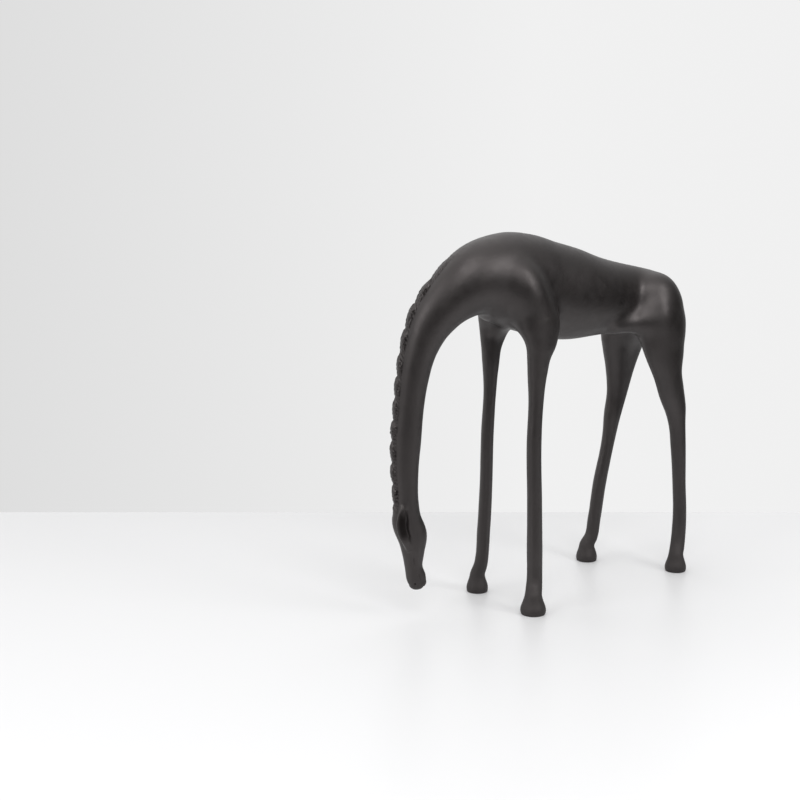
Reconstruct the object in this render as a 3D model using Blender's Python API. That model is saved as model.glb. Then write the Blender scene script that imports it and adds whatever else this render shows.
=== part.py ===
"""Grazing horse: a slender statuette cast in one piece, standing on four small hooves.

The horse faces -X, its left side is towards -Y and +Z is up. It is modelled symmetrical and
straight, apart from the legs, and its neck is then turned to its right. The origin is on the
ground, below the middle of the casting. Lengths are in metres.
"""

import math

import bmesh
import bpy
import numpy as np

HEIGHT = 0.331                # ground to the top of the withers
DESIGN_HEIGHT = 331.0         # the height that the stations below are written for
UNIT = HEIGHT / DESIGN_HEIGHT

NECK_TURN = math.radians(27)  # how far the head looks to the horse's right
TURN_START = -15 * UNIT       # the neck starts to turn here, just ahead of the front legs
TURN_LENGTH = 65 * UNIT       # and has its full turn this much further forward

MANE_WIDTH = 0.0090           # the raised band along the crest
MANE_HEIGHT = 0.0022          # how far the band stands above the neck
LOCK_DEPTH = 0.0022           # crest of a lock above the groove beside it
LOCK_LENGTH = 0.0185          # from one lock to the next, along the crest
LOCK_SLANT = 1.1              # how far a lock leans down the neck for each step off the crest
MANE_START = 63 * UNIT        # the poll, along the neck's curve from the muzzle
MANE_END = 290 * UNIT         # where the band runs out, short of the withers

SWELLING_FILLET = 0.007       # how widely a shoulder or haunch runs into the trunk
LEG_FILLETS = (0.014, 0.012, 0.015, 0.015)  # how widely each leg runs into the body
FOLD_FILLET = 0.012           # and how widely the flank's fold does
EAR_FILLET = 0.003

VOXEL = 0.0018                # mesh size while the limbs are fused
EASE_STEPS = 6                # passes that bring the mesh onto the blended form, after each fusing
CALM_STEPS = 4                # passes that then even out its small bumps
TRIANGLES = 9400              # the casting, faceted

IRON = (0.028, 0.026, 0.025, 1.0)
IRON_ROUGHNESS = 0.42
IRON_METALLIC = 0.6

# The head, neck and trunk are one tube from the muzzle to the rump. Each station is
# along (rearwards), up, half depth in the plane of the bend, half width.
TRUNK = (
    (-89.8, 31.5, 7.8, 6),
    (-91, 36, 8.5, 6.4),
    (-93.3, 46, 7.8, 6.6),
    (-93.8, 59, 9.8, 8),
    (-94.7, 74, 13, 9.3),
    (-99.3, 88, 13, 9.3),
    (-99.3, 104, 10.2, 8.8),
    (-100.1, 131, 10.7, 9),
    (-99, 160, 12, 9.7),
    (-96.8, 188, 12, 10.3),
    (-94, 211, 12.8, 12),
    (-87.8, 239, 15, 14.4),
    (-78.6, 260, 18.6, 17),
    (-62.5, 279, 23.2, 20),
    (-39.5, 293, 32, 24),
    (-12, 293, 39, 27.5),
    (14, 287, 42, 27.5),
    (40, 279, 42, 27),
    (72, 271, 40.7, 27),
    (103, 265.5, 35.6, 25),
    (130, 262, 31.8, 21),
    (153, 259.3, 29.1, 20),
    (171, 257, 26.9, 20),
    (187, 255.5, 23.5, 18.5),
)

# A leg's stations, from inside the body down: up, along, out from the middle, half length
# (fore and aft) and half width.
FRONT_LEG = (
    (266, 9, 23, 14, 9),
    (254, 10.5, 27, 19, 11.5),
    (240, 9.5, 30, 16.5, 10),
    (226, 7.2, 30, 11, 8.8),
    (212, 6.3, 29.5, 8.7, 8),
    (190, 5.6, 29.3, 6.8, 6.5),
    (150, 3.6, 29.8, 6.5, 6.4),
    (100, 4, 31.3, 6.6, 6.5),
    (60, 3.4, 33, 6.9, 6.8),
    (24, 1.6, 35.2, 7.2, 7.1),
)
NEAR_HIND_LEG = (
    (248, 171, 16, 17, 9),
    (238, 171, 19, 23.6, 13),
    (227, 171.6, 22, 25, 14.3),
    (208, 173.5, 25.5, 22.5, 11.5),
    (187, 176.5, 27.8, 16, 9.2),
    (171, 181, 28.6, 14.2, 8.6),
    (156, 186, 29.3, 11.8, 7.8),
    (140, 188.6, 30, 8.8, 7),
    (117, 190.3, 31, 7.4, 6.7),
    (86, 191.6, 32.3, 6.4, 6.1),
    (44, 191.4, 34.8, 6.7, 6.3),
    (22, 187.5, 36.6, 6.9, 6.7),
)
FAR_HIND_LEG = (
    (248, 170.2, 16, 18, 9),
    (238, 170.6, 19, 26, 13),
    (227, 171, 22, 29, 14.3),
    (208, 171.6, 25.6, 24.5, 11.8),
    (190, 171.4, 27.7, 18.2, 9.8),
    (163, 169, 29, 11.6, 7.6),
    (141, 164.2, 29.8, 8.8, 7.2),
    (125, 162, 30.5, 7, 6.2),
    (108, 159, 31.2, 6.2, 5.8),
    (79, 153.2, 32.8, 6.5, 6),
    (42, 149, 35, 6.3, 6),
    (22, 146, 36.4, 6.5, 6.3),
)
# The swellings of shoulder and haunch: along, out, up, half length, half width, half height and
# how many degrees the top leans forward.
SHOULDER = (2, 21, 276, 19, 17.5, 34, 25)
NEAR_HAUNCH = (173.5, 17, 250, 24, 18, 32.5, 18)
FAR_HAUNCH = (173.5, 17, 250, 24, 18, 32.5, 18)
SWELLINGS = ((SHOULDER, -1), (SHOULDER, 1), (NEAR_HAUNCH, -1), (FAR_HAUNCH, 1))

# The fold of the flank, from the thigh forward onto the belly: along, out, up, half width,
# half thickness.
FLANK_FOLD = (
    (164, 23.7, 243.5, 14, 9.2),
    (150, 21, 240.5, 10, 7.3),
    (134, 17.5, 239, 7, 5.2),
    (117, 14.5, 238, 4.5, 4),
)
# Below the shank each hoof flares out: height, and radius as a share of the hoof's greatest.
HOOF_PROFILE = ((15, 0.70), (10.5, 0.82), (6, 0.96), (2.8, 1.0), (0, 0.95), (-2, 0.88))
# Each leg: its stations, the middle of its sole (along, out), its hoof's radius, its side
# (-1 is the horse's left) and how stout it is.
LEGS = (
    (FRONT_LEG, (-1.6, 37.7), 11.3, -1, 1.0),
    (FRONT_LEG, (0.5, 37.7), 9.8, 1, 0.87),
    (NEAR_HIND_LEG, (184.7, 37.9), 10, -1, 1.0),
    (FAR_HIND_LEG, (142.6, 37.9), 10, 1, 1.0),
)

# An ear, from its root up to its tip: along, out, up, half width, half thickness.
EAR = (
    (-98, 6.6, 64, 2, 1.5),
    (-101.5, 8.2, 72, 3.8, 2.2),
    (-104.6, 9, 80, 4.6, 2.8),
    (-105.7, 9.2, 87, 4.8, 2.8),
    (-105.3, 8.6, 94, 4, 2.4),
    (-104.5, 7.6, 101, 2.2, 1.7),
)


def smooth_rows(rows, spacing):
    """Rows read off a smooth curve through the given rows, about one spacing apart."""
    rows = np.array(rows, dtype=float)
    steps = np.linalg.norm(np.diff(rows[:, :3], axis=0), axis=1)
    place = np.concatenate(([0.0], np.cumsum(steps)))
    slopes = np.gradient(rows, place, axis=0)
    wanted = np.linspace(0, place[-1], max(4, int(place[-1] / spacing)))
    index = np.clip(np.searchsorted(place, wanted, side="right") - 1, 0, len(steps) - 1)
    step = steps[index][:, None]
    t = ((wanted - place[index])[:, None]) / step
    start, end = rows[index], rows[index + 1]
    return ((2 * t**3 - 3 * t**2 + 1) * start + (t**3 - 2 * t**2 + t) * step * slopes[index]
            + (3 * t**2 - 2 * t**3) * end + (t**3 - t**2) * step * slopes[index + 1])


class Limb:
    """A tube of oval sections along a curve: its centres, its section axes and its radii."""

    def __init__(self, rows, side_hint, spacing=2.0 * UNIT):
        rows = smooth_rows(rows, spacing)
        self.centre = rows[:, :3]
        self.depth = rows[:, 3]
        self.width = rows[:, 4]
        self.along = np.gradient(self.centre, axis=0)
        self.along /= np.linalg.norm(self.along, axis=1)[:, None]
        steps = np.linalg.norm(np.diff(self.centre, axis=0), axis=1)
        self.arc = np.concatenate(([0.0], np.cumsum(steps)))
        hint = np.array(side_hint, dtype=float)
        self.side = hint - self.along * (self.along @ hint)[:, None]
        self.side /= np.linalg.norm(self.side, axis=1)[:, None]
        self.outer = np.cross(self.side, self.along)

    def nearest(self, points):
        """Index of the nearest section of each point."""
        found = np.empty(len(points), dtype=int)
        squares = (self.centre**2).sum(axis=1)
        for first in range(0, len(points), 8192):
            some = points[first:first + 8192]
            found[first:first + 8192] = np.argmin(squares - 2 * some @ self.centre.T, axis=1)
        return found

    def distance(self, points, relief=None):
        """About how far each point is outside the limb, less than zero inside."""
        at = self.nearest(points)
        away = points - self.centre[at]
        ahead = (away * self.along[at]).sum(axis=1)
        side = (away * self.side[at]).sum(axis=1)
        outer = (away * self.outer[at]).sum(axis=1)
        slope_depth = np.gradient(self.depth, self.arc)[at]
        slope_width = np.gradient(self.width, self.arc)[at]
        inside = (at > 0) & (at < len(self.centre) - 1)
        depth = np.maximum(self.depth[at] + slope_depth * ahead * inside, 0.1 * UNIT)
        width = np.maximum(self.width[at] + slope_width * ahead * inside, 0.1 * UNIT)
        end = np.where(inside, 0.0, ahead)
        cap = np.minimum(depth, width)
        scaled = np.sqrt((outer / depth)**2 + (side / width)**2 + (end / cap)**2) + 1e-9
        steep = np.sqrt((outer / depth**2)**2 + (side / width**2)**2 + (end / cap**2)**2) + 1e-9
        result = scaled * (scaled - 1) / steep
        if relief is not None:
            result = result - relief(self.arc[at] + ahead, side, outer)
        return result

    def add_tube(self, shell, sides=20, cap_steps=4):
        """A closed loft of the limb's sections with round ends, added to a bmesh."""
        last = len(self.centre) - 1
        cap = [math.pi / 2 * step / cap_steps for step in range(1, cap_steps)]
        sections = [(0, -turn) for turn in reversed(cap)]
        sections += [(index, 0.0) for index in range(last + 1)]
        sections += [(last, turn) for turn in cap]
        rings = []
        for index, turn in sections:
            depth, width = self.depth[index], self.width[index]
            centre = self.centre[index] + self.along[index] * min(depth, width) * math.sin(turn)
            side = self.side[index] * width * math.cos(turn)
            outer = self.outer[index] * depth * math.cos(turn)
            angles = [math.tau * step / sides for step in range(sides)]
            rings.append([shell.verts.new(centre + side * math.cos(angle) + outer * math.sin(angle))
                          for angle in angles])
        for ring, following in zip(rings, rings[1:]):
            for step in range(sides):
                after = (step + 1) % sides
                shell.faces.new((ring[step], ring[after], following[after], following[step]))
        shell.faces.new(rings[0])
        shell.faces.new(rings[-1])


class Swelling:
    """An egg-shaped muscle: its middle, its half sizes and how it leans."""

    def __init__(self, sizes, side):
        along, out, up, half_length, half_width, half_height, lean = sizes
        self.centre = np.array((along, side * out, up)) * UNIT
        self.sizes = np.array((half_length, half_width, half_height)) * UNIT
        lean = math.radians(lean)
        self.axes = np.array(((math.cos(lean), 0, math.sin(lean)), (0, 1, 0),
                              (-math.sin(lean), 0, math.cos(lean))))

    def distance(self, points):
        """About how far each point is outside the swelling, less than zero inside."""
        away = (points - self.centre) @ self.axes.T
        scaled = np.linalg.norm(away / self.sizes, axis=1) + 1e-9
        steep = np.linalg.norm(away / self.sizes**2, axis=1) + 1e-9
        return scaled * (scaled - 1) / steep

    def add_ball(self, shell):
        """A closed ball of the swelling's form, added to a bmesh."""
        ball = bmesh.ops.create_icosphere(shell, subdivisions=3, radius=1)
        for vertex in ball["verts"]:
            vertex.co = self.centre + (np.array(vertex.co) * self.sizes) @ self.axes


def blend(one, other, radius):
    """The nearer of two distances, rounded where the two surfaces meet."""
    close = np.maximum(radius - np.abs(one - other), 0) / radius
    return np.minimum(one, other) - close**2 * radius / 4


def ramp(value, low, high):
    """Zero below low, one above high and a smooth step between them."""
    share = np.clip((value - low) / (high - low), 0, 1)
    return share * share * (3 - 2 * share)


def mane_relief(arc, side, outer):
    """Height of the mane over the neck: a band along the crest, cut into slanting locks."""
    half = MANE_WIDTH / 2
    fade = 12 * UNIT
    length = ramp(arc, MANE_START, MANE_START + fade) * (1 - ramp(arc, MANE_END - 4 * fade, MANE_END))
    across = 1 - ramp(np.abs(side), 0.7 * half, 1.15 * half)
    turn = -(arc + LOCK_SLANT * np.abs(side)) / LOCK_LENGTH
    share = turn - np.floor(turn)
    rise = np.where(share < 0.3, share / 0.3, (1 - share) / 0.7)
    lock = LOCK_DEPTH * (np.sin(rise * math.pi / 2) - 0.6)
    return np.where(outer > 0, (MANE_HEIGHT + lock) * length * across, 0)


def leg_rows(stations, sole, hoof_radius, side, stoutness):
    """Rows of a leg and its hoof in world order: along, across, up, half length, half width."""
    rows = [(along, side * out, up, half_length * stoutness, half_width * stoutness)
            for up, along, out, half_length, half_width in stations]
    rows += [(sole[0], side * sole[1], up, hoof_radius * share, hoof_radius * share)
             for up, share in HOOF_PROFILE]
    return np.array(rows) * UNIT


def mirrored(stations, side):
    """Rows of a small limb that both sides have, in world order."""
    rows = [(along, side * out, up, wide, thick) for along, out, up, wide, thick in stations]
    return np.array(rows) * UNIT


def turned(points):
    """The points with the neck and head swung to the horse's right, about an upright axis."""
    steps = np.linspace(0, 1, 200)
    reach = TURN_LENGTH * steps
    angle = NECK_TURN * ramp(steps, 0, 1)
    step = reach[1]
    ahead_at = np.concatenate(([0.0], np.cumsum(np.cos(angle[:-1]) * step)))
    right_at = np.concatenate(([0.0], np.cumsum(np.sin(angle[:-1]) * step)))
    ahead = np.maximum(TURN_START - points[:, 0], 0)
    beyond = np.maximum(ahead - TURN_LENGTH, 0)
    bend = np.interp(ahead, reach, angle)
    along = np.interp(ahead, reach, ahead_at) + beyond * math.cos(NECK_TURN)
    right = np.interp(ahead, reach, right_at) + beyond * math.sin(NECK_TURN)
    result = points.copy()
    moved = ahead > 0
    result[moved, 0] = (TURN_START - along + points[:, 1] * np.sin(bend))[moved]
    result[moved, 1] = (right + points[:, 1] * np.cos(bend))[moved]
    return result


def read_points(mesh):
    points = np.empty(len(mesh.vertices) * 3)
    mesh.vertices.foreach_get("co", points)
    return points.reshape(-1, 3)


def write_points(mesh, points):
    mesh.vertices.foreach_set("co", points.ravel())
    mesh.update()


def calm(mesh, steps):
    """Evens out small bumps: each point moves towards its neighbours and then part of the way back."""
    edges = np.empty(len(mesh.edges) * 2, dtype=np.int32)
    mesh.edges.foreach_get("vertices", edges)
    ends = edges.reshape(-1, 2)
    start = np.concatenate((ends[:, 0], ends[:, 1]))
    other = np.concatenate((ends[:, 1], ends[:, 0]))
    count = np.bincount(start, minlength=len(mesh.vertices))[:, None]
    points = read_points(mesh)
    for share in (0.5, -0.52) * steps:
        sums = [np.bincount(start, points[other, axis], len(points)) for axis in range(3)]
        points = points + share * (np.stack(sums, axis=1) / count - points)
    write_points(mesh, points)


def with_modifier(thing, kind, **settings):
    """A new mesh of the object with one modifier evaluated, which is then removed."""
    modifier = thing.modifiers.new(kind.title(), kind)
    for name, value in settings.items():
        setattr(modifier, name, value)
    ready = thing.evaluated_get(bpy.context.evaluated_depsgraph_get())
    mesh = bpy.data.meshes.new_from_object(ready)
    thing.modifiers.remove(modifier)
    thing.data = mesh
    return mesh


def largest_body(shell):
    """Every vertex of the bmesh's largest connected body."""
    unseen = set(shell.verts)
    largest = set()
    while unseen:
        body = set()
        edge_of_body = [unseen.pop()]
        while edge_of_body:
            vertex = edge_of_body.pop()
            body.add(vertex)
            for edge in vertex.link_edges:
                neighbour = edge.other_vert(vertex)
                if neighbour in unseen:
                    unseen.remove(neighbour)
                    edge_of_body.append(neighbour)
        largest = max(largest, body, key=len)
    return largest


def cut_soles(mesh):
    """Drops pockets left inside, cuts the hooves off flat at the ground and closes each sole."""
    shell = bmesh.new()
    shell.from_mesh(mesh)
    casting = largest_body(shell)
    pockets = [vertex for vertex in shell.verts if vertex not in casting]
    bmesh.ops.delete(shell, geom=pockets, context="VERTS")
    everything = shell.verts[:] + shell.edges[:] + shell.faces[:]
    bmesh.ops.bisect_plane(shell, geom=everything, dist=1e-6, plane_co=(0, 0, 0),
                           plane_no=(0, 0, -1), clear_outer=True)
    rims = [edge for edge in shell.edges if edge.is_boundary]
    bmesh.ops.holes_fill(shell, edges=rims)
    bmesh.ops.triangulate(shell, faces=shell.faces)
    bmesh.ops.recalc_face_normals(shell, faces=shell.faces)
    shell.to_mesh(mesh)
    shell.free()


def cast_iron():
    iron = bpy.data.materials.new("cast_iron")
    iron.use_nodes = True
    shader = iron.node_tree.nodes["Principled BSDF"]
    shader.inputs["Base Color"].default_value = IRON
    shader.inputs["Roughness"].default_value = IRON_ROUGHNESS
    shader.inputs["Metallic"].default_value = IRON_METALLIC
    return iron


def grazing_horse():
    """The whole casting: limbs lofted, fused, eased into each other, thinned and cut flat below."""
    trunk_rows = [(along, 0, up, depth, width) for along, up, depth, width in TRUNK]
    trunk = Limb(np.array(trunk_rows) * UNIT, (0, -1, 0))
    swellings = [Swelling(*swelling) for swelling in SWELLINGS]
    legs = [Limb(leg_rows(*leg), (0, 1, 0)) for leg in LEGS]
    ears = [Limb(mirrored(EAR, side), (0, 1, 0)) for side in (-1, 1)]
    folds = [Limb(mirrored(FLANK_FOLD, side), (0, 1, 0)) for side in (-1, 1)]

    shell = bmesh.new()
    for limb in [trunk] + legs + folds + ears:
        limb.add_tube(shell)
    for swelling in swellings:
        swelling.add_ball(shell)
    bmesh.ops.recalc_face_normals(shell, faces=shell.faces)
    mesh = bpy.data.meshes.new("grazing_horse")
    shell.to_mesh(mesh)
    shell.free()
    horse = bpy.data.objects.new("grazing_horse", mesh)
    bpy.context.collection.objects.link(horse)

    for step in range(2 * EASE_STEPS):
        if step % EASE_STEPS == 0:
            mesh = with_modifier(horse, "REMESH", mode="VOXEL", voxel_size=VOXEL)
        points = read_points(mesh)
        normals = np.empty(len(mesh.vertices) * 3)
        mesh.vertices.foreach_get("normal", normals)
        form = trunk.distance(points, mane_relief)
        for swelling in swellings:
            form = blend(form, swelling.distance(points), SWELLING_FILLET)
        for leg, fillet in zip(legs, LEG_FILLETS):
            form = blend(form, leg.distance(points), fillet)
        for fold in folds:
            form = blend(form, fold.distance(points), FOLD_FILLET)
        for ear in ears:
            form = blend(form, ear.distance(points), EAR_FILLET)
        away = np.clip(form, -VOXEL, VOXEL)[:, None]
        write_points(mesh, points - normals.reshape(-1, 3) * away)

    calm(mesh, CALM_STEPS)
    faces = sum(len(face.vertices) - 2 for face in mesh.polygons)
    mesh = with_modifier(horse, "DECIMATE", ratio=TRIANGLES / faces)
    cut_soles(mesh)
    points = turned(read_points(mesh))
    middle = (points.min(axis=0) + points.max(axis=0)) / 2
    points[:, :2] -= middle[:2]
    write_points(mesh, points)
    mesh.shade_smooth()
    mesh.set_sharp_from_angle(angle=math.radians(50))
    mesh.materials.append(cast_iron())
    print("moved to the middle by", middle[0], middle[1], "metres;", len(mesh.polygons), "triangles")
    return horse


for thing in list(bpy.data.objects):
    bpy.data.objects.remove(thing)
grazing_horse()
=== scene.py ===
# %% [markdown]
# # A grazing horse in cast iron
#
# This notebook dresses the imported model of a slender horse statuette. The model arrives as a
# plain solid with few faces. Here the same form is made again with far more faces, so that it
# can carry what a foundry pattern carries: the strokes of the mane, the planes of the head, the
# hollows of the ears and the crease behind each. Then it is given its blackened iron, a table
# and soft light.
#
# Everything is in metres. The horse faces -X, its left side is towards -Y and +Z is up.

# %% Tools
import math

import bmesh
import bpy
import numpy as np
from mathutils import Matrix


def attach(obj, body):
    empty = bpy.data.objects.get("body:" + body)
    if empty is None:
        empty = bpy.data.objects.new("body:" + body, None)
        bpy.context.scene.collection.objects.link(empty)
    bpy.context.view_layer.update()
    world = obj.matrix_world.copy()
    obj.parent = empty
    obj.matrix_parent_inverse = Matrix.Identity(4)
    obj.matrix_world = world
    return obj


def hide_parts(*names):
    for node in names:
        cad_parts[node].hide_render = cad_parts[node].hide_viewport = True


# %% [markdown]
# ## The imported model
#
# Loading it gives one node, the whole casting, and one body that it rides on. Its box is the
# yardstick: what we make has to fill the same space.

# %% Load the model
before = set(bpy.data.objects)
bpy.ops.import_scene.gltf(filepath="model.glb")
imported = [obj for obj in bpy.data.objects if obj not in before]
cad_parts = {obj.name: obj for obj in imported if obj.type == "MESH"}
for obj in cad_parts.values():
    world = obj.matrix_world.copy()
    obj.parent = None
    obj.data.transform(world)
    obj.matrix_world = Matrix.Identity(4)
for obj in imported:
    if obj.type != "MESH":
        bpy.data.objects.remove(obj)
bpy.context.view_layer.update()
print("nodes:", list(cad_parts))

# %% [markdown]
# ## The form in numbers
#
# The horse is a few round limbs that run into each other, and a muscle on each shoulder and
# haunch. Each limb is a row of stations: where its middle is and how thick it is there, in
# millimetres. The neck is written down straight and is swung to the horse's right at the end,
# because a straight neck is far easier to carve.

# %% Stations of the head, neck and trunk: along, up, half depth, half width
MM = 0.001
TRUNK = (
    (-89.8, 31.5, 7.8, 6),
    (-91, 36, 8.5, 6.4),
    (-93.3, 46, 7.8, 6.6),
    (-93.8, 59, 9.8, 8),
    (-94.7, 74, 13, 9.3),
    (-99.3, 88, 13, 9.3),
    (-99.3, 104, 10.2, 8.8),
    (-100.1, 131, 10.7, 9),
    (-99, 160, 12, 9.7),
    (-96.8, 188, 12, 10.3),
    (-94, 211, 12.8, 12),
    (-87.8, 239, 15, 14.4),
    (-78.6, 260, 18.6, 17),
    (-62.5, 279, 23.2, 20),
    (-39.5, 293, 32, 24),
    (-12, 293, 39, 27.5),
    (14, 287, 42, 27.5),
    (40, 279, 42, 27),
    (72, 271, 40.7, 27),
    (103, 265.5, 35.6, 25),
    (130, 262, 31.8, 21),
    (153, 259.3, 29.1, 20),
    (171, 257, 26.9, 20),
    (187, 255.5, 23.5, 18.5),
)

# %% Stations of the legs: up, along, out from the middle, half length, half width
FRONT_LEG = (
    (266, 9, 23, 14, 9),
    (254, 10.5, 27, 19, 11.5),
    (240, 9.5, 30, 16.5, 10),
    (226, 7.2, 30, 11, 8.8),
    (212, 6.3, 29.5, 8.7, 8),
    (190, 5.6, 29.3, 6.8, 6.5),
    (150, 3.6, 29.8, 6.5, 6.4),
    (100, 4, 31.3, 6.6, 6.5),
    (60, 3.4, 33, 6.9, 6.8),
    (24, 1.6, 35.2, 7.2, 7.1),
)
NEAR_HIND_LEG = (
    (248, 171, 16, 17, 9),
    (238, 171, 19, 23.6, 13),
    (227, 171.6, 22, 25, 14.3),
    (208, 173.5, 25.5, 22.5, 11.5),
    (187, 176.5, 27.8, 16, 9.2),
    (171, 181, 28.6, 14.2, 8.6),
    (156, 186, 29.3, 11.8, 7.8),
    (140, 188.6, 30, 8.8, 7),
    (117, 190.3, 31, 7.4, 6.7),
    (86, 191.6, 32.3, 6.4, 6.1),
    (44, 191.4, 34.8, 6.7, 6.3),
    (22, 187.5, 36.6, 6.9, 6.7),
)
FAR_HIND_LEG = (
    (248, 170.2, 16, 18, 9),
    (238, 170.6, 19, 26, 13),
    (227, 171, 22, 29, 14.3),
    (208, 171.6, 25.6, 24.5, 11.8),
    (190, 171.4, 27.7, 18.2, 9.8),
    (163, 169, 29, 11.6, 7.6),
    (141, 164.2, 29.8, 8.8, 7.2),
    (125, 162, 30.5, 7, 6.2),
    (108, 159, 31.2, 6.2, 5.8),
    (79, 153.2, 32.8, 6.5, 6),
    (42, 149, 35, 6.3, 6),
    (22, 146, 36.4, 6.5, 6.3),
)
# A hoof flares out below the shank: height, and share of its greatest radius.
HOOF_PROFILE = ((15, 0.70), (10.5, 0.82), (6, 0.96), (2.8, 1.0), (0, 0.95), (-2, 0.88))
# Stations, middle of the sole (along, out), hoof radius, side and how stout the leg is.
LEGS = (
    (FRONT_LEG, (-1.6, 37.7), 11.3, -1, 1.0),
    (FRONT_LEG, (0.5, 37.7), 9.8, 1, 0.87),
    (NEAR_HIND_LEG, (184.7, 37.9), 10, -1, 1.0),
    (FAR_HIND_LEG, (142.6, 37.9), 10, 1, 1.0),
)

# %% Shoulders and haunches: along, out, up, half length, half width, half height, forward lean
SHOULDER = (2, 21, 276, 19, 17.5, 34, 25)
HAUNCH = (173.5, 17, 250, 24, 18, 32.5, 18)
SWELLINGS = ((SHOULDER, -1), (SHOULDER, 1), (HAUNCH, -1), (HAUNCH, 1))

# %% Stations of the small parts that both sides have: along, out, up, half width, half thickness
FLANK_FOLD = (
    (164, 23.7, 243.5, 14, 9.2),
    (150, 21, 240.5, 10, 7.3),
    (134, 17.5, 239, 7, 5.2),
    (117, 14.5, 238, 4.5, 4),
)
EAR = (
    (-98, 6.6, 64, 2, 1.5),
    (-101.5, 8.2, 72, 3.8, 2.2),
    (-104.6, 9, 80, 4.6, 2.8),
    (-105.7, 9.2, 87, 4.8, 2.8),
    (-105.3, 8.6, 94, 4, 2.4),
    (-104.5, 7.6, 101, 2.2, 1.7),
)
# The crease is a groove, so its stations are the middle of what is cut away behind the ear.
EAR_CREASE = (
    (-101.8, 8.4, 101, 0.5, 0.5),
    (-101, 9.8, 94, 1.1, 1.1),
    (-100.6, 10, 86, 1.2, 1.2),
    (-99.8, 10.1, 80, 1.1, 1.1),
    (-98.4, 10.8, 73, 0.9, 0.9),
    (-97, 12, 67, 0.5, 0.5),
)
print(len(TRUNK), "trunk stations and", sum(len(leg[0]) for leg in LEGS), "leg stations")

# %% [markdown]
# ## From stations to a limb
#
# A smooth curve is led through the stations. Along it the limb knows its own axes, so any point
# in space can be told how far along the limb it is, how far to the side and how far outwards.
# That answers two questions: how far the point is from the limb's skin, and, on the neck, where
# it is on the mane.


# %% Smooth rows of numbers
def smooth_rows(rows, spacing):
    """Rows read off a smooth curve through the given rows, about one spacing apart."""
    rows = np.array(rows, dtype=float)
    steps = np.linalg.norm(np.diff(rows[:, :3], axis=0), axis=1)
    place = np.concatenate(([0.0], np.cumsum(steps)))
    slopes = np.gradient(rows, place, axis=0)
    wanted = np.linspace(0, place[-1], max(4, int(place[-1] / spacing)))
    index = np.clip(np.searchsorted(place, wanted, side="right") - 1, 0, len(steps) - 1)
    step = steps[index][:, None]
    t = (wanted - place[index])[:, None] / step
    start, end = rows[index], rows[index + 1]
    return ((2 * t**3 - 3 * t**2 + 1) * start + (t**3 - 2 * t**2 + t) * step * slopes[index]
            + (3 * t**2 - 2 * t**3) * end + (t**3 - t**2) * step * slopes[index + 1])


def ramp(value, low, high):
    """Zero below low, one above high and a smooth step between them."""
    share = np.clip((value - low) / (high - low), 0, 1)
    return share * share * (3 - 2 * share)


def blend(one, other, radius):
    """The nearer of two distances, rounded where the two surfaces meet."""
    close = np.maximum(radius - np.abs(one - other), 0) / radius
    return np.minimum(one, other) - close**2 * radius / 4


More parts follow.
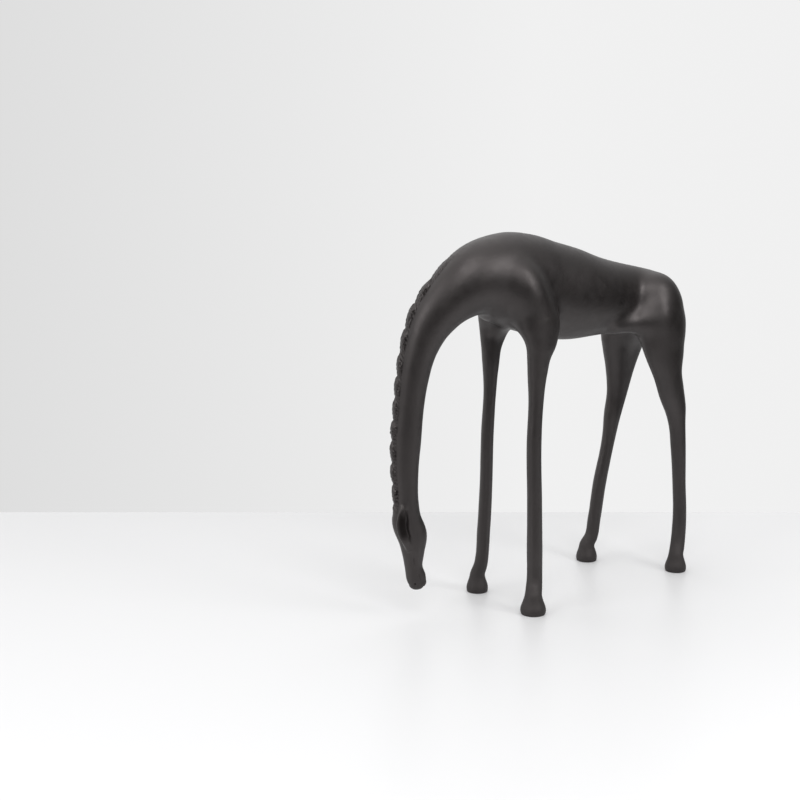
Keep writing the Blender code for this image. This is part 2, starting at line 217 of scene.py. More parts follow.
# %% A limb
class Limb:
    """A tube of oval sections along a curve: its centres, its section axes and its radii."""

    def __init__(self, rows, side_hint, spacing=2.0 * MM):
        rows = smooth_rows(rows, spacing)
        self.centre = rows[:, :3]
        self.depth = rows[:, 3]
        self.width = rows[:, 4]
        self.along = np.gradient(self.centre, axis=0)
        self.along /= np.linalg.norm(self.along, axis=1)[:, None]
        steps = np.linalg.norm(np.diff(self.centre, axis=0), axis=1)
        self.arc = np.concatenate(([0.0], np.cumsum(steps)))
        hint = np.array(side_hint, dtype=float)
        self.side = hint - self.along * (self.along @ hint)[:, None]
        self.side /= np.linalg.norm(self.side, axis=1)[:, None]
        self.outer = np.cross(self.side, self.along)

    def nearest(self, points):
        """Index of the nearest section of each point."""
        found = np.empty(len(points), dtype=int)
        squares = (self.centre**2).sum(axis=1)
        for first in range(0, len(points), 8192):
            some = points[first:first + 8192]
            found[first:first + 8192] = np.argmin(squares - 2 * some @ self.centre.T, axis=1)
        return found

    def place(self, points):
        """Where each point is on the limb: section index, arc, side, outer and ahead."""
        at = self.nearest(points)
        away = points - self.centre[at]
        ahead = (away * self.along[at]).sum(axis=1)
        side = (away * self.side[at]).sum(axis=1)
        outer = (away * self.outer[at]).sum(axis=1)
        return at, self.arc[at] + ahead, side, outer, ahead

    def distance(self, points, relief=None):
        """About how far each point is outside the limb, less than zero inside."""
        at, arc, side, outer, ahead = self.place(points)
        slope_depth = np.gradient(self.depth, self.arc)[at]
        slope_width = np.gradient(self.width, self.arc)[at]
        inside = (at > 0) & (at < len(self.centre) - 1)
        depth = np.maximum(self.depth[at] + slope_depth * ahead * inside, 0.1 * MM)
        width = np.maximum(self.width[at] + slope_width * ahead * inside, 0.1 * MM)
        end = np.where(inside, 0.0, ahead)
        cap = np.minimum(depth, width)
        scaled = np.sqrt((outer / depth)**2 + (side / width)**2 + (end / cap)**2) + 1e-9
        steep = np.sqrt((outer / depth**2)**2 + (side / width**2)**2 + (end / cap**2)**2) + 1e-9
        result = scaled * (scaled - 1) / steep
        if relief is not None:
            result = result - relief(arc, side, outer)
        return result

    def add_tube(self, shell, sides=20, cap_steps=4):
        """A closed loft of the limb's sections with round ends, added to a bmesh."""
        last = len(self.centre) - 1
        cap = [math.pi / 2 * step / cap_steps for step in range(1, cap_steps)]
        sections = [(0, -turn) for turn in reversed(cap)]
        sections += [(index, 0.0) for index in range(last + 1)]
        sections += [(last, turn) for turn in cap]
        rings = []
        for index, turn in sections:
            depth, width = self.depth[index], self.width[index]
            centre = self.centre[index] + self.along[index] * min(depth, width) * math.sin(turn)
            side = self.side[index] * width * math.cos(turn)
            outer = self.outer[index] * depth * math.cos(turn)
            angles = [math.tau * step / sides for step in range(sides)]
            rings.append([shell.verts.new(centre + side * math.cos(angle) + outer * math.sin(angle))
                          for angle in angles])
        for ring, following in zip(rings, rings[1:]):
            for step in range(sides):
                after = (step + 1) % sides
                shell.faces.new((ring[step], ring[after], following[after], following[step]))
        shell.faces.new(rings[0])
        shell.faces.new(rings[-1])


# %% A muscle
class Swelling:
    """An egg-shaped muscle: its middle, its half sizes and how it leans."""

    def __init__(self, sizes, side):
        along, out, up, half_length, half_width, half_height, lean = sizes
        self.centre = np.array((along, side * out, up)) * MM
        self.sizes = np.array((half_length, half_width, half_height)) * MM
        lean = math.radians(lean)
        self.axes = np.array(((math.cos(lean), 0, math.sin(lean)), (0, 1, 0),
                              (-math.sin(lean), 0, math.cos(lean))))

    def distance(self, points):
        """About how far each point is outside the swelling, less than zero inside."""
        away = (points - self.centre) @ self.axes.T
        scaled = np.linalg.norm(away / self.sizes, axis=1) + 1e-9
        steep = np.linalg.norm(away / self.sizes**2, axis=1) + 1e-9
        return scaled * (scaled - 1) / steep

    def add_ball(self, shell):
        """A closed ball of the swelling's form, added to a bmesh."""
        ball = bmesh.ops.create_icosphere(shell, subdivisions=3, radius=1)
        for vertex in ball["verts"]:
            vertex.co = self.centre + (np.array(vertex.co) * self.sizes) @ self.axes


# %% Limbs of this horse
def leg_rows(stations, sole, hoof_radius, side, stoutness):
    """Rows of a leg and its hoof in world order: along, across, up, half length, half width."""
    rows = [(along, side * out, up, half_length * stoutness, half_width * stoutness)
            for up, along, out, half_length, half_width in stations]
    rows += [(sole[0], side * sole[1], up, hoof_radius * share, hoof_radius * share)
             for up, share in HOOF_PROFILE]
    return np.array(rows) * MM


def mirrored(stations, side):
    """Rows of a small limb that both sides have, in world order."""
    rows = [(along, side * out, up, wide, thick) for along, out, up, wide, thick in stations]
    return np.array(rows) * MM


trunk = Limb(np.array([(along, 0, up, depth, width) for along, up, depth, width in TRUNK]) * MM,
             (0, -1, 0))
swellings = [Swelling(*swelling) for swelling in SWELLINGS]
legs = [Limb(leg_rows(*leg), (0, 1, 0)) for leg in LEGS]
folds = [Limb(mirrored(FLANK_FOLD, side), (0, 1, 0)) for side in (-1, 1)]
ears = [Limb(mirrored(EAR, side), (0, 1, 0)) for side in (-1, 1)]
creases = [Limb(mirrored(EAR_CREASE, side), (0, 1, 0)) for side in (-1, 1)]
print("from muzzle to rump along the curve:", round(trunk.arc[-1] * 1000), "mm")

# %% [markdown]
# ## The head's carving
#
# The head is only 70 mm long, so a few cuts carry it: an angular ridge down each side of the
# face, a cheek, a shallow socket for the eye, nostrils and the line of the mouth. They could be
# sculpted by hand. Here each is a soft-edged dip or swelling placed by its distance from the
# muzzle along the head, so that both sides get it alike and it can be moved by one number.


# %% Soft-edged marks
def spot(arc, side, outer, at, size):
    """One at a place on both sides of the head, fading to nothing over the given half sizes."""
    away = ((arc - at[0]) / size[0])**2 + ((np.abs(side) - at[1]) / size[1])**2
    away = away + ((outer - at[2]) / size[2])**2
    return np.exp(-2.5 * away)


def head_relief(arc, side, outer):
    """How far the head's surface stands out from the plain limb, less than zero where it is cut."""
    arc, side, outer = arc / MM, side / MM, outer / MM
    relief = 0.9 * spot(arc, side, outer, (37, 7, -3), (14, 5, 7))       # cheek
    relief -= 0.9 * spot(arc, side, outer, (43, 6.5, 5), (5, 2.5, 2.5))  # under the brow
    relief += 0.7 * spot(arc, side, outer, (43, 7, 3.6), (2.6, 2, 1.8))  # eye
    relief -= 0.8 * spot(arc, side, outer, (22, 7, 1), (11, 3, 2.6))     # hollow below the ridge
    relief += 0.5 * spot(arc, side, outer, (2, 5, 2), (5, 3, 3.4))       # nostril's rim
    relief -= 1.3 * spot(arc, side, outer, (1.5, 5.5, 3), (2.4, 2, 1.5))  # nostril
    mouth = np.exp(-((outer + 3.2 - 0.12 * arc) / 0.8)**2)
    relief -= 0.4 * mouth * ramp(arc, -9, -5) * (1 - ramp(arc, 9, 13))
    return relief * MM


# %% [markdown]
# ## The mane's band
#
# Along the crest the mane stands up as a band, and its large locks give the neck a scalloped
# outline. A saw-tooth wave, rounded at the top, makes the locks: towards the head each rises
# quickly and falls slowly. Modelled one by one they would differ more, but the real ones are
# nearly even.

# %% The mane's large locks
MANE_WIDTH = 9 * MM
MANE_HEIGHT = 2.2 * MM
MANE_START = 63 * MM             # the poll, along the neck's curve from the muzzle
MANE_END = 290 * MM              # short of the withers
LOCK_HEIGHT = 2.2 * MM
LOCK_LENGTH = 18.5 * MM
LOCK_SLANT = 1.1                 # how far a lock runs towards the head for each step off the crest
LOCK_RISE = 0.3                  # the share of a lock's length on which it rises


def mane_cover(arc, side, outer):
    """One on the mane's band and zero off it."""
    half = MANE_WIDTH / 2
    fade = 12 * MM
    length = ramp(arc, MANE_START, MANE_START + fade)
    length = length * (1 - ramp(arc, MANE_END - 4 * fade, MANE_END))
    across = 1 - ramp(np.abs(side), 0.7 * half, 1.15 * half)
    return np.where(outer > 0, length * across, 0)


def trunk_relief(arc, side, outer):
    """Height over the plain trunk: the mane's band with its locks, and the head's carving."""
    turn = -(arc + LOCK_SLANT * np.abs(side)) / LOCK_LENGTH
    share = turn - np.floor(turn)
    rise = np.where(share < LOCK_RISE, share / LOCK_RISE, (1 - share) / (1 - LOCK_RISE))
    lock = LOCK_HEIGHT * (np.sin(rise * math.pi / 2) - 0.6)
    return (MANE_HEIGHT + lock) * mane_cover(arc, side, outer) + head_relief(arc, side, outer)


print("large locks in the mane:", round((MANE_END - MANE_START) / LOCK_LENGTH))

# %% [markdown]
# ## The ears
#
# Each ear is a leaf with a scoop in its outward face. The scoop is cut into the ear's own limb, so
# it follows the ear wherever that is put.

# %% The hollow of an ear
HOLLOW_WIDTH = 5.4 * MM          # from the scoop's middle to its edge
HOLLOW_DEPTH = 1.7 * MM
HOLLOW_BACK = 0.3 * MM           # how far the scoop lies behind the ear's middle


def ear_hollow(side):
    """A scoop in the outward face of the ear on one side, as a relief for that ear's limb."""
    def relief(arc, across, outer):
        face = ramp(across * side, 0, 1 * MM)
        length = ramp(arc, 8 * MM, 18 * MM) * (1 - ramp(arc, 29 * MM, 40 * MM))
        off_middle = np.abs(outer - HOLLOW_BACK)
        in_scoop = 1 - ramp(off_middle, 0.3 * HOLLOW_WIDTH, HOLLOW_WIDTH)
        return -HOLLOW_DEPTH * face * length * in_scoop
    return relief


hollows = [ear_hollow(side) for side in (-1, 1)]

# %% [markdown]
# ## The whole form
#
# Where two parts meet, the iron runs from one into the other in a soft hollow. Their two distances
# are blended to give that, with a fillet of its own for each kind of part. The crease behind an
# ear is the same sum turned round: it takes metal away, and its fillet rounds the groove's lips.

# %% The whole form
SWELLING_FILLETS = (10 * MM, 10 * MM, 11 * MM, 11 * MM)     # shoulders, then haunches
LEG_FILLETS = (14 * MM, 12 * MM, 15 * MM, 15 * MM)          # front legs, then hind legs
FOLD_FILLET = 12 * MM
EAR_FILLET = 3 * MM
CREASE_FILLET = 2.5 * MM


def form(points):
    """About how far each point is outside the horse, its neck still straight."""
    result = trunk.distance(points, trunk_relief)
    for swelling, fillet in zip(swellings, SWELLING_FILLETS):
        result = blend(result, swelling.distance(points), fillet)
    for leg, fillet in zip(legs, LEG_FILLETS):
        result = blend(result, leg.distance(points), fillet)
    for fold in folds:
        result = blend(result, fold.distance(points), FOLD_FILLET)
    for ear, hollow in zip(ears, hollows):
        result = blend(result, ear.distance(points, hollow), EAR_FILLET)
    for crease in creases:
        result = -blend(-result, crease.distance(points), CREASE_FILLET)
    return result


print("middle of the barrel:", form(np.array([(60, 0, 275)]) * MM)[0] / MM, "mm, so it is inside")

# %% [markdown]
# ## Fusing the limbs
#
# The limbs are lofted, and a voxel remesh turns the overlapping tubes into one closed skin of
# even squares. The skin is then drawn onto the blended form, a few small steps at a time. That is
# done twice, because the first skin still has steps where the tubes overlapped. The real barrel
# is one smooth sweep, so the trunk is evened out for longer than the rest.


# %% Helpers for meshes
def read_points(mesh):
    points = np.empty(len(mesh.vertices) * 3)
    mesh.vertices.foreach_get("co", points)
    return points.reshape(-1, 3)


def read_normals(mesh):
    normals = np.empty(len(mesh.vertices) * 3)
    mesh.vertices.foreach_get("normal", normals)
    return normals.reshape(-1, 3)


def write_points(mesh, points):
    mesh.vertices.foreach_set("co", points.ravel())
    mesh.update()


def evaluated(thing):
    """A new mesh of the object as its modifiers leave it. The modifiers are then removed."""
    ready = thing.evaluated_get(bpy.context.evaluated_depsgraph_get())
    mesh = bpy.data.meshes.new_from_object(ready)
    thing.modifiers.clear()
    thing.data = mesh
    return mesh


def ease(mesh, steps, reach, chosen=slice(None)):
    """Moves the chosen points of the mesh along their normals onto the form."""
    for _ in range(steps):
        points = read_points(mesh)
        away = np.zeros(len(points))
        away[chosen] = np.clip(form(points[chosen]), -reach, reach)
        write_points(mesh, points - read_normals(mesh) * away[:, None])


# %% Helpers that even out a skin
def neighbour_links(mesh):
    """Each edge's two ends, both ways round."""
    edges = np.empty(len(mesh.edges) * 2, dtype=np.int32)
    mesh.edges.foreach_get("vertices", edges)
    ends = edges.reshape(-1, 2)
    return np.concatenate((ends, ends[:, ::-1])).T


def averaged(points, links):
    """The middle of each point's neighbours."""
    start, other = links
    count = np.bincount(start, minlength=len(points))
    sums = [np.bincount(start, points[other, axis], len(points)) for axis in range(3)]
    return np.stack(sums, axis=1) / count[:, None]


def calm(mesh, steps, strength=1.0):
    """Evens out small bumps. Each step in and then out again, so the skin doesn't shrink."""
    links = neighbour_links(mesh)
    points = read_points(mesh)
    for share in (0.5, -0.52) * steps:
        points = points + share * strength * (averaged(points, links) - points)
    write_points(mesh, points)


# %% One skin
COARSE = 2.0 * MM                # mesh size on the plain parts
EASE_STEPS = 6
CALM_STEPS = 8
TRUNK_CALM_STEPS = 120
TRUNK_FRONT = (-50 * MM, -25 * MM)   # the trunk begins between these, along the horse
TRUNK_BELOW = (195 * MM, 225 * MM)   # and between these heights

shell = bmesh.new()
for limb in [trunk] + legs + folds + ears:
    limb.add_tube(shell)
for swelling in swellings:
    swelling.add_ball(shell)
bmesh.ops.recalc_face_normals(shell, faces=shell.faces)
mesh = bpy.data.meshes.new("horse")
shell.to_mesh(mesh)
shell.free()
horse = bpy.data.objects.new("horse", mesh)
bpy.context.collection.objects.link(horse)
for _ in range(2):
    remesh = horse.modifiers.new("Fuse", "REMESH")
    remesh.mode = "VOXEL"
    remesh.voxel_size = COARSE
    mesh = evaluated(horse)
    ease(mesh, EASE_STEPS, COARSE)
calm(mesh, CALM_STEPS)
points = read_points(mesh)
trunk_only = ramp(points[:, 0], *TRUNK_FRONT) * ramp(points[:, 2], *TRUNK_BELOW)
calm(mesh, TRUNK_CALM_STEPS, trunk_only[:, None])
print("one skin of", len(mesh.polygons), "faces")

# %% [markdown]
# ## More faces where the detail is
#
# Only the head and the mane need a fine mesh. Their faces are cut into small squares and drawn
# onto the form again. The hooves were lofted a little too long. They are cut off flat at the
# ground, and each sole is closed, so that the horse stands on four level soles.


# %% Loose pockets left by the fusing
def largest_body(shell):
    """Every vertex of the bmesh's largest connected body."""
    unseen = set(shell.verts)
    largest = set()
    while unseen:
        body = set()
        waiting = [unseen.pop()]
        while waiting:
            vertex = waiting.pop()
            body.add(vertex)
            for edge in vertex.link_edges:
                neighbour = edge.other_vert(vertex)
                if neighbour in unseen:
                    unseen.remove(neighbour)
                    waiting.append(neighbour)
        largest = max(largest, body, key=len)
    return largest


# %% Refine the head and the mane
FINER = 4                        # times finer on the head and the mane
FINE_FRONT = -60 * MM            # only the neck and head ahead of this are made finer

points = read_points(mesh)
_, arc, side, outer, _ = trunk.place(points)
on_mane = (outer > 0) & (np.abs(side) < 0.62 * MANE_WIDTH + 1 * MM) & (arc < MANE_END)
on_head = arc < MANE_START + 6 * MM
detailed = (points[:, 0] < FINE_FRONT) & (on_head | on_mane)
shell = bmesh.new()
shell.from_mesh(mesh)
shell.verts.ensure_lookup_table()
casting = largest_body(shell)
wanted = {vertex for vertex in casting if detailed[vertex.index]}
edges = [edge for edge in shell.edges if edge.verts[0] in wanted and edge.verts[1] in wanted]
pockets = [vertex for vertex in shell.verts if vertex not in casting]
bmesh.ops.subdivide_edges(shell, edges=edges, cuts=FINER - 1, use_grid_fill=True)
bmesh.ops.delete(shell, geom=pockets, context="VERTS")
everything = shell.verts[:] + shell.edges[:] + shell.faces[:]
bmesh.ops.bisect_plane(shell, geom=everything, dist=1e-6, plane_co=(0, 0, 0),
                       plane_no=(0, 0, -1), clear_outer=True)
soles = bmesh.ops.holes_fill(shell, edges=[edge for edge in shell.edges if edge.is_boundary])
bmesh.ops.triangulate(shell, faces=shell.faces)
bmesh.ops.recalc_face_normals(shell, faces=shell.faces)
shell.to_mesh(mesh)
shell.free()
print("soles closed:", len(soles["faces"]))
print("refined to", len(mesh.polygons), "triangles")

# %% Draw the fine part onto the form
NECK_FRONT = -55 * MM            # ahead of this the skin follows the form's detail

near_head = read_points(mesh)[:, 0] < NECK_FRONT
ease(mesh, 4, 0.5 * MM, near_head)
print("points drawn onto the form:", int(near_head.sum()))

# %% [markdown]
# ## The strokes of the mane
#
# Between the large locks the founder's pattern has fine slanting strokes, 3.4 mm apart, that
# run from the crest down towards the head on both sides. They repeat along a path and differ a
# little, so a Geometry Nodes group makes them. Each point carries where it is on the neck (its
# arc, its distance from the crest and how much mane there is), and the group turns that into a
# row of sharp grooves between rounded strands.

# %% What each point knows
STROKES_START = (MANE_START - 2 * MM, MANE_START + 10 * MM)
STROKES_END = (262 * MM, 296 * MM)
STROKES_EDGE = (0.42 * MANE_WIDTH, 0.66 * MANE_WIDTH)

points = read_points(mesh)
_, arc, side, outer, _ = trunk.place(points)
off_crest = np.abs(side)
band = ramp(arc, *STROKES_START) * (1 - ramp(arc, *STROKES_END))
strands = band * (1 - ramp(off_crest, *STROKES_EDGE))
strands = np.where((outer > 2 * MM) & (points[:, 0] < NECK_FRONT), strands, 0)
for name, values in (("arc", arc), ("off_crest", off_crest), ("strands", strands)):
    attribute = mesh.attributes.new(name, "FLOAT", "POINT")
    attribute.data.foreach_set("value", values.astype(np.float32))
print("points under the strokes:", int((strands > 0).sum()))


# %% Helpers for node trees
def add_node(tree, kind, inputs=None, **settings):
    """A node with its settings, and its inputs given as values or as another node's output."""
    node = tree.nodes.new(kind)
    for name, value in settings.items():
        setattr(node, name, value)
    for name, value in (inputs or {}).items():
        if isinstance(value, bpy.types.NodeSocket):
            tree.links.new(value, node.inputs[name])
        else:
            node.inputs[name].default_value = value
    return node


def calculate(tree, operation, *values):
    """One sum of one or two values."""
    return add_node(tree, "ShaderNodeMath", dict(enumerate(values)), operation=operation).outputs[0]


# %% The group that carves the strokes
STROKE_SIZES = (("Pitch", 3.4 * MM), ("Slant", 1.15), ("Depth", 0.45 * MM), ("Waver", 3.0 * MM))
FAINTEST_STRAND = 0.65
BOLDEST_STRAND = 1.2
STRAND_SINK = 0.6                # how much of a strand's height lies below the band, as a groove

strokes = bpy.data.node_groups.new("Mane strokes", "GeometryNodeTree")
strokes.interface.new_socket("Geometry", in_out="INPUT", socket_type="NodeSocketGeometry")
for name, value in STROKE_SIZES:
    socket = strokes.interface.new_socket(name, in_out="INPUT", socket_type="NodeSocketFloat")
    socket.default_value = value
strokes.interface.new_socket("Seed", in_out="INPUT", socket_type="NodeSocketInt")
strokes.interface.new_socket("Iron", in_out="INPUT", socket_type="NodeSocketMaterial")
strokes.interface.new_socket("Geometry", in_out="OUTPUT", socket_type="NodeSocketGeometry")
given = strokes.nodes.new("NodeGroupInput").outputs


def attribute_value(name):
    return add_node(strokes, "GeometryNodeInputNamedAttribute", {"Name": name}).outputs["Attribute"]


noise = add_node(strokes, "ShaderNodeTexNoise", {"Scale": 90.0, "Detail": 1.0, "W": given["Seed"]},
                 noise_dimensions="4D")
waver = calculate(strokes, "SUBTRACT", noise.outputs["Fac"], 0.5)
waver = calculate(strokes, "MULTIPLY", waver, given["Waver"])
lean = calculate(strokes, "MULTIPLY", attribute_value("off_crest"), given["Slant"])
run = calculate(strokes, "ADD", attribute_value("arc"), lean)
run = calculate(strokes, "ADD", run, waver)
turns = calculate(strokes, "DIVIDE", run, given["Pitch"])
number = calculate(strokes, "FLOOR", turns)
height = add_node(strokes, "FunctionNodeRandomValue", {"ID": number, "Seed": given["Seed"]})
height.inputs[2].default_value = FAINTEST_STRAND
height.inputs[3].default_value = BOLDEST_STRAND
half_turn = calculate(strokes, "MULTIPLY", turns, math.pi)
strand = calculate(strokes, "ABSOLUTE", calculate(strokes, "SINE", half_turn))
strand = calculate(strokes, "MULTIPLY", strand, height.outputs[1])
strand = calculate(strokes, "SUBTRACT", strand, STRAND_SINK)
strand = calculate(strokes, "MULTIPLY", strand, given["Depth"])
strand = calculate(strokes, "MULTIPLY", strand, attribute_value("strands"))
outward = add_node(strokes, "ShaderNodeVectorMath",
                   {0: strokes.nodes.new("GeometryNodeInputNormal").outputs[0], "Scale": strand},
                   operation="SCALE")
carved = add_node(strokes, "GeometryNodeSetPosition",
                  {"Geometry": given["Geometry"], "Offset": outward.outputs[0]})
realised = add_node(strokes, "GeometryNodeRealizeInstances", {"Geometry": carved.outputs[0]})
finished = add_node(strokes, "GeometryNodeSetMaterial",
                    {"Geometry": realised.outputs[0], "Material": given["Iron"]})
strokes.links.new(finished.outputs[0], strokes.nodes.new("NodeGroupOutput").inputs["Geometry"])
print("nodes in the group:", len(strokes.nodes))

# %% [markdown]
# ## Blackened iron
#
# The real finish is a thin black patina over grey iron, rubbed to a satin. It is not one colour:
# the patina varies from patch to patch, and nobody rubs the hooves, so they are dull. The sand of
# the mould left a fine grain, and the skin is very slightly uneven. A photograph wrapped round
# the horse would stretch on the legs. Noise in the object's own coordinates doesn't, and it stays
# on the iron when the camera moves.

# %% The iron
DARK_PATINA = (0.0024, 0.0018, 0.0016, 1)
PALE_PATINA = (0.0050, 0.0038, 0.0034, 1)
HOOF_TOP = (22 * MM, 45 * MM)    # the dull finish of the hooves fades out between these heights

iron = bpy.data.materials.new("cast_iron")
iron.use_nodes = True
tree = iron.node_tree
shader = tree.nodes["Principled BSDF"]
place = add_node(tree, "ShaderNodeTexCoord").outputs["Object"]
patches = add_node(tree, "ShaderNodeTexNoise",
                   {"Vector": place, "Scale": 38.0, "Detail": 4.0, "Roughness": 0.6})
colour = add_node(tree, "ShaderNodeValToRGB", {"Fac": patches.outputs["Fac"]})
stops = zip(colour.color_ramp.elements, (0.34, 0.68), (DARK_PATINA, PALE_PATINA))
for stop, position, patina in stops:
    stop.position = position
    stop.color = patina
tree.links.new(colour.outputs["Color"], shader.inputs["Base Color"])

# %% How shiny the iron is
rubbed = add_node(tree, "ShaderNodeTexNoise",
                  {"Vector": place, "Scale": 120.0, "Detail": 3.0, "Roughness": 0.55})
satin = add_node(tree, "ShaderNodeMapRange",
                 {"Value": rubbed.outputs["Fac"], "From Min": 0.3, "From Max": 0.7,
                  "To Min": 0.41, "To Max": 0.49})
upright = add_node(tree, "ShaderNodeSeparateXYZ", {"Vector": place}).outputs["Z"]
dull_hooves = add_node(tree, "ShaderNodeMapRange",
                       {"Value": upright, "From Min": HOOF_TOP[0], "From Max": HOOF_TOP[1],
                        "To Min": 0.2, "To Max": 0.0})
roughness = calculate(tree, "ADD", satin.outputs["Result"], dull_hooves.outputs["Result"])
tree.links.new(roughness, shader.inputs["Roughness"])
# The recesses are measured further down, once the strokes are carved. There the gleam is turned
# down, as painted shade for the shade that falls in the hollows.
painted_shade_share = add_node(tree, "ShaderNodeAttribute", attribute_name="painted_recess_shade").outputs["Fac"]
gleam_with_painted_shade = add_node(tree, "ShaderNodeMapRange", {"Value": painted_shade_share, "To Min": 0.5, "To Max": 0.1})
tree.links.new(gleam_with_painted_shade.outputs["Result"], shader.inputs["Specular IOR Level"])
shader.inputs["IOR"].default_value = 1.65
shader.inputs["Specular Tint"].default_value = (1.0, 0.92, 0.915, 1)

# %% The grain of the cast skin
grain = add_node(tree, "ShaderNodeTexNoise",
                 {"Vector": place, "Scale": 1400.0, "Detail": 2.0, "Roughness": 0.6})
uneven = add_node(tree, "ShaderNodeTexNoise",
                  {"Vector": place, "Scale": 110.0, "Detail": 2.0, "Roughness": 0.5})
coarse_bump = add_node(tree, "ShaderNodeBump",
                       {"Height": uneven.outputs["Fac"], "Strength": 0.3, "Distance": 0.0004})
fine_bump = add_node(tree, "ShaderNodeBump",
                     {"Height": grain.outputs["Fac"], "Strength": 0.35, "Distance": 0.00012,
                      "Normal": coarse_bump.outputs["Normal"]})
tree.links.new(fine_bump.outputs["Normal"], shader.inputs["Normal"])
print("iron made of", len(tree.nodes), "nodes")

# %% Carve the strokes
CHOSEN = {"Seed": 7, "Iron": iron}

carving = horse.modifiers.new("Mane strokes", "NODES")
carving.node_group = strokes
for socket in strokes.interface.items_tree:
    if socket.in_out == "INPUT" and socket.name in CHOSEN:
        carving[socket.identifier] = CHOSEN[socket.name]
mesh = evaluated(horse)
for name in ("arc", "off_crest", "strands"):
    mesh.attributes.remove(mesh.attributes[name])
print("materials on the casting:", [slot.name for slot in mesh.materials])

# %% [markdown]
# ## Painted shade in the recesses
#
# In the ears, under the brow and between the strands the iron gleams less, as painted shade
# for the shade that falls in these hollows. How deep each point lies below an evened-out copy of
# the skin tells where that is. An ear's scoop is too wide for that, so it is marked by its own
# depth.

# %% Recesses of the head and the mane
RECESS_STEPS = 20                # how long the copy of the skin is evened out
RECESS_DEPTHS = (0.03 * MM, 0.45 * MM)   # a recess begins at the first and is dullest at the second
EAR_SKIN = (0.5 * MM, 1.5 * MM)  # points nearer than this to an ear's skin are part of the ear

links = neighbour_links(mesh)
points = read_points(mesh)
evened = points
for _ in range(RECESS_STEPS):
    evened = averaged(evened, links)
depth = np.sum((evened - points) * read_normals(mesh), axis=1)
on_head = 1 - ramp(arc, MANE_START, MANE_START + 8 * MM)
# painted shade: the deeper the recess, the less the iron gleams there
painted_recess_shade = ramp(depth, *RECESS_DEPTHS) * np.clip(on_head + 2 * strands, 0, 1) * near_head
for ear, hollow in zip(ears, hollows):
    _, *where, _ = ear.place(points)
    scooped = -hollow(*where) / HOLLOW_DEPTH
    on_ear = 1 - ramp(np.abs(ear.distance(points, hollow)), *EAR_SKIN)
    painted_recess_shade = np.maximum(painted_recess_shade, scooped * on_ear)
attribute = mesh.attributes.new("painted_recess_shade", "FLOAT", "POINT")
attribute.data.foreach_set("value", painted_recess_shade.astype(np.float32))
print("points in recesses:", int((painted_recess_shade > 0.5).sum()))

# %% [markdown]
# ## Turning the head
#
# The neck is bent about an upright axis, as a bar would be: a point keeps its distance from the
# middle plane while that plane curves to the horse's right. A plain rotation would leave a kink
# at the chest.

# %% Bend the neck and centre the casting
NECK_TURN = math.radians(27)     # how far the head looks to the horse's right
TURN_START = -15 * MM
TURN_LENGTH = 65 * MM


def turned(points):
    """The points with the neck and head swung to the horse's right, about an upright axis."""
    steps = np.linspace(0, 1, 200)
    reach = TURN_LENGTH * steps
    angle = NECK_TURN * ramp(steps, 0, 1)
    step = reach[1]
    ahead_at = np.concatenate(([0.0], np.cumsum(np.cos(angle[:-1]) * step)))
    right_at = np.concatenate(([0.0], np.cumsum(np.sin(angle[:-1]) * step)))
    ahead = np.maximum(TURN_START - points[:, 0], 0)
    beyond = np.maximum(ahead - TURN_LENGTH, 0)
    bend = np.interp(ahead, reach, angle)
    along = np.interp(ahead, reach, ahead_at) + beyond * math.cos(NECK_TURN)
    right = np.interp(ahead, reach, right_at) + beyond * math.sin(NECK_TURN)
    result = points.copy()
    moved = ahead > 0
    result[moved, 0] = (TURN_START - along + points[:, 1] * np.sin(bend))[moved]
    result[moved, 1] = (right + points[:, 1] * np.cos(bend))[moved]
    return result


points = turned(read_points(mesh))
middle = (points.min(axis=0) + points.max(axis=0)) / 2
points[:, :2] -= middle[:2]
write_points(mesh, points)
mesh.shade_smooth()
mesh.set_sharp_from_angle(angle=math.radians(60))
horse.name = "horse_casting"
print("the casting now measures", (points.max(axis=0) - points.min(axis=0)) * 1000, "mm")

# %% Put it in the model's place
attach(horse, "root")
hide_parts("grazing_horse")
print(horse.name, "takes the place of the plain solid")

# %% [markdown]
# ## The table
#
# The horse stands on a white, slightly glossy table in front of a pale wall. A plain sheet stands
# for the table. It ends a quarter of a metre behind the horse's middle, where the wall would
# begin, and the pale world beyond it stands for the wall. That way no wall casts a shadow or
# needs lighting of its own.

# %% Table
VIEW_TURN = math.radians(-39.5)   # the camera's heading, about the upright axis
WALL_AHEAD = 0.25                 # from the horse's middle to the wall
TABLE_DEPTH = 0.85
TABLE_WIDTH = 1.3

to_wall = np.array((-math.sin(VIEW_TURN), math.cos(VIEW_TURN), 0))
bpy.ops.mesh.primitive_plane_add(size=1)
table = bpy.context.object
table.name = "table"
table.scale = (TABLE_WIDTH, TABLE_DEPTH, 1)
table.rotation_euler = (0, 0, VIEW_TURN)
table.location = to_wall * (WALL_AHEAD - TABLE_DEPTH / 2)
white = bpy.data.materials.new("white_table")
white.use_nodes = True
surface = white.node_tree.nodes["Principled BSDF"]
surface.inputs["Base Color"].default_value = (0.615, 0.615, 0.62, 1)
surface.inputs["Roughness"].default_value = 0.4
table.data.materials.append(white)
print("table top at", table.location.z)

# %% [markdown]
# ## Light and camera
#
# Three soft round lamps hang on the horse's near side. The key is the largest. It is high and
# ahead of the horse, and gives the broad gleam on the neck and the barrel. A smaller, lower one
# by the haunch lights the legs from the other side, and the fill reaches the head from straight
# ahead. The bright world does the rest. The camera stands a metre and a half away and looks down
# by 12.7 degrees, with a 75 mm lens.


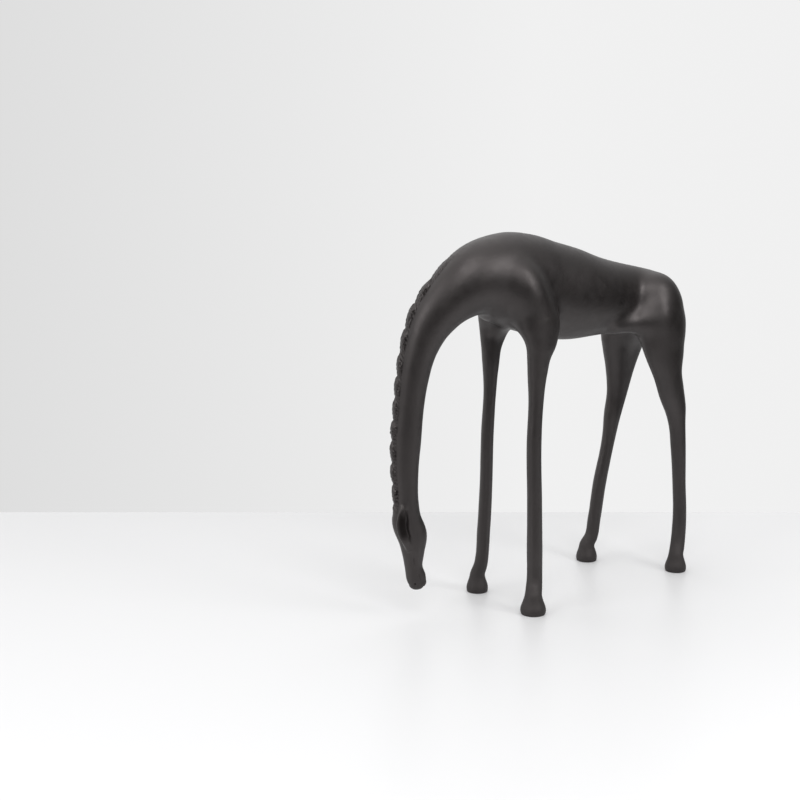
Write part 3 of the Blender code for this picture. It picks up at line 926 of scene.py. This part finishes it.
# %% Lamps
def lamp(name, place, target, size, watts):
    """A round area lamp that faces the target."""
    light = bpy.data.lights.new(name, "AREA")
    light.shape = "DISK"
    light.size = size
    light.energy = watts
    thing = bpy.data.objects.new(name, light)
    thing.location = place
    away = np.array(target) - np.array(place)
    across = math.hypot(away[0], away[1])
    heading = math.atan2(away[1], away[0]) - math.pi / 2
    thing.rotation_euler = (math.atan2(across, -away[2]), 0, heading)
    bpy.context.collection.objects.link(thing)
    print(name, "lamp,", watts, "W, from", round(float(np.linalg.norm(away)), 2), "m")


lamp("key", (-0.6, -0.9, 1.1), (0, 0, 0.2), 1.0, 7.8)
lamp("second", (0.35, -1.0, 0.7), (0, 0, 0.2), 0.6, 5)
lamp("fill", (-1.35, 0.1, 0.6), (0, 0, 0.15), 0.9, 5.5)

# %% [markdown]
# ## The room
#
# The wall and the ceiling are bright and the room behind the camera is dim. Black iron shows what
# it mirrors, so that is what gives the body its dark middle and its light rims. The camera itself
# sees a pale wall that darkens a little to the left, a painted shade on the wall. A sphere of
# painted light would do the same, but a world made of a few sums needs no picture.

# %% Room
BRIGHT_WALL = (0.165, 0.987, 0.0)   # towards the brightest part of the wall

world = bpy.data.worlds.new("studio")
world.use_nodes = True
room = world.node_tree
facing = add_node(room, "ShaderNodeTexCoord").outputs["Generated"]
towards = add_node(room, "ShaderNodeVectorMath", {0: facing, 1: BRIGHT_WALL},
                   operation="DOT_PRODUCT").outputs["Value"]
walls = add_node(room, "ShaderNodeMapRange",
                 {"Value": towards, "From Min": -0.15, "From Max": 0.75, "To Min": 0.015,
                  "To Max": 0.9}).outputs["Result"]
height = add_node(room, "ShaderNodeSeparateXYZ", {"Vector": facing}).outputs["Z"]
ceiling = add_node(room, "ShaderNodeMapRange",
                   {"Value": height, "From Min": 0.25, "From Max": 0.95, "To Min": 0.0,
                    "To Max": 1.2}).outputs["Result"]
glow = calculate(room, "ADD", walls, ceiling)
print("what the iron mirrors:", len(room.nodes), "nodes so far")

# %% What the camera sees of the wall
seen =add_node(room, "ShaderNodeLightPath").outputs["Is Camera Ray"]
rightward = add_node(room, "ShaderNodeVectorMath",
                     {0: facing, 1: (math.cos(VIEW_TURN), math.sin(VIEW_TURN), 0)},
                     operation="DOT_PRODUCT").outputs["Value"]
# painted shade: the wall seen by the camera darkens towards the left
wall_painted_falloff = add_node(room, "ShaderNodeMapRange",
                     {"Value": rightward, "From Min": -0.24, "From Max": 0.08, "To Min": 0.73,
                      "To Max": 0.875}).outputs["Result"]
tone = add_node(room, "ShaderNodeMix", {"Factor": seen, "A": glow, "B": wall_painted_falloff},
                data_type="FLOAT")
background = room.nodes["Background"]
background.inputs["Color"].default_value = (1.0, 1.0, 1.0, 1)
room.links.new(tone.outputs["Result"], background.inputs["Strength"])
bpy.context.scene.world = world
bpy.context.scene.view_settings.view_transform = "Standard"
print("the room:", len(room.nodes), "nodes")

# %% Camera
CAMERA_PLACE = (-0.9732, -1.0328, 0.504)   # counted, like the stations, before the centring
CAMERA_TILT = math.radians(77.3)           # from looking straight down

camera = bpy.data.cameras.new("camera")
camera.lens = 75
camera.sensor_width = 36
view = bpy.data.objects.new("camera", camera)
view.location = (CAMERA_PLACE[0] - middle[0], CAMERA_PLACE[1] - middle[1], CAMERA_PLACE[2])
view.rotation_euler = (CAMERA_TILT, 0, VIEW_TURN)
bpy.context.collection.objects.link(view)
bpy.context.scene.camera = view
print("camera", round(view.location.length, 2), "m from the origin")
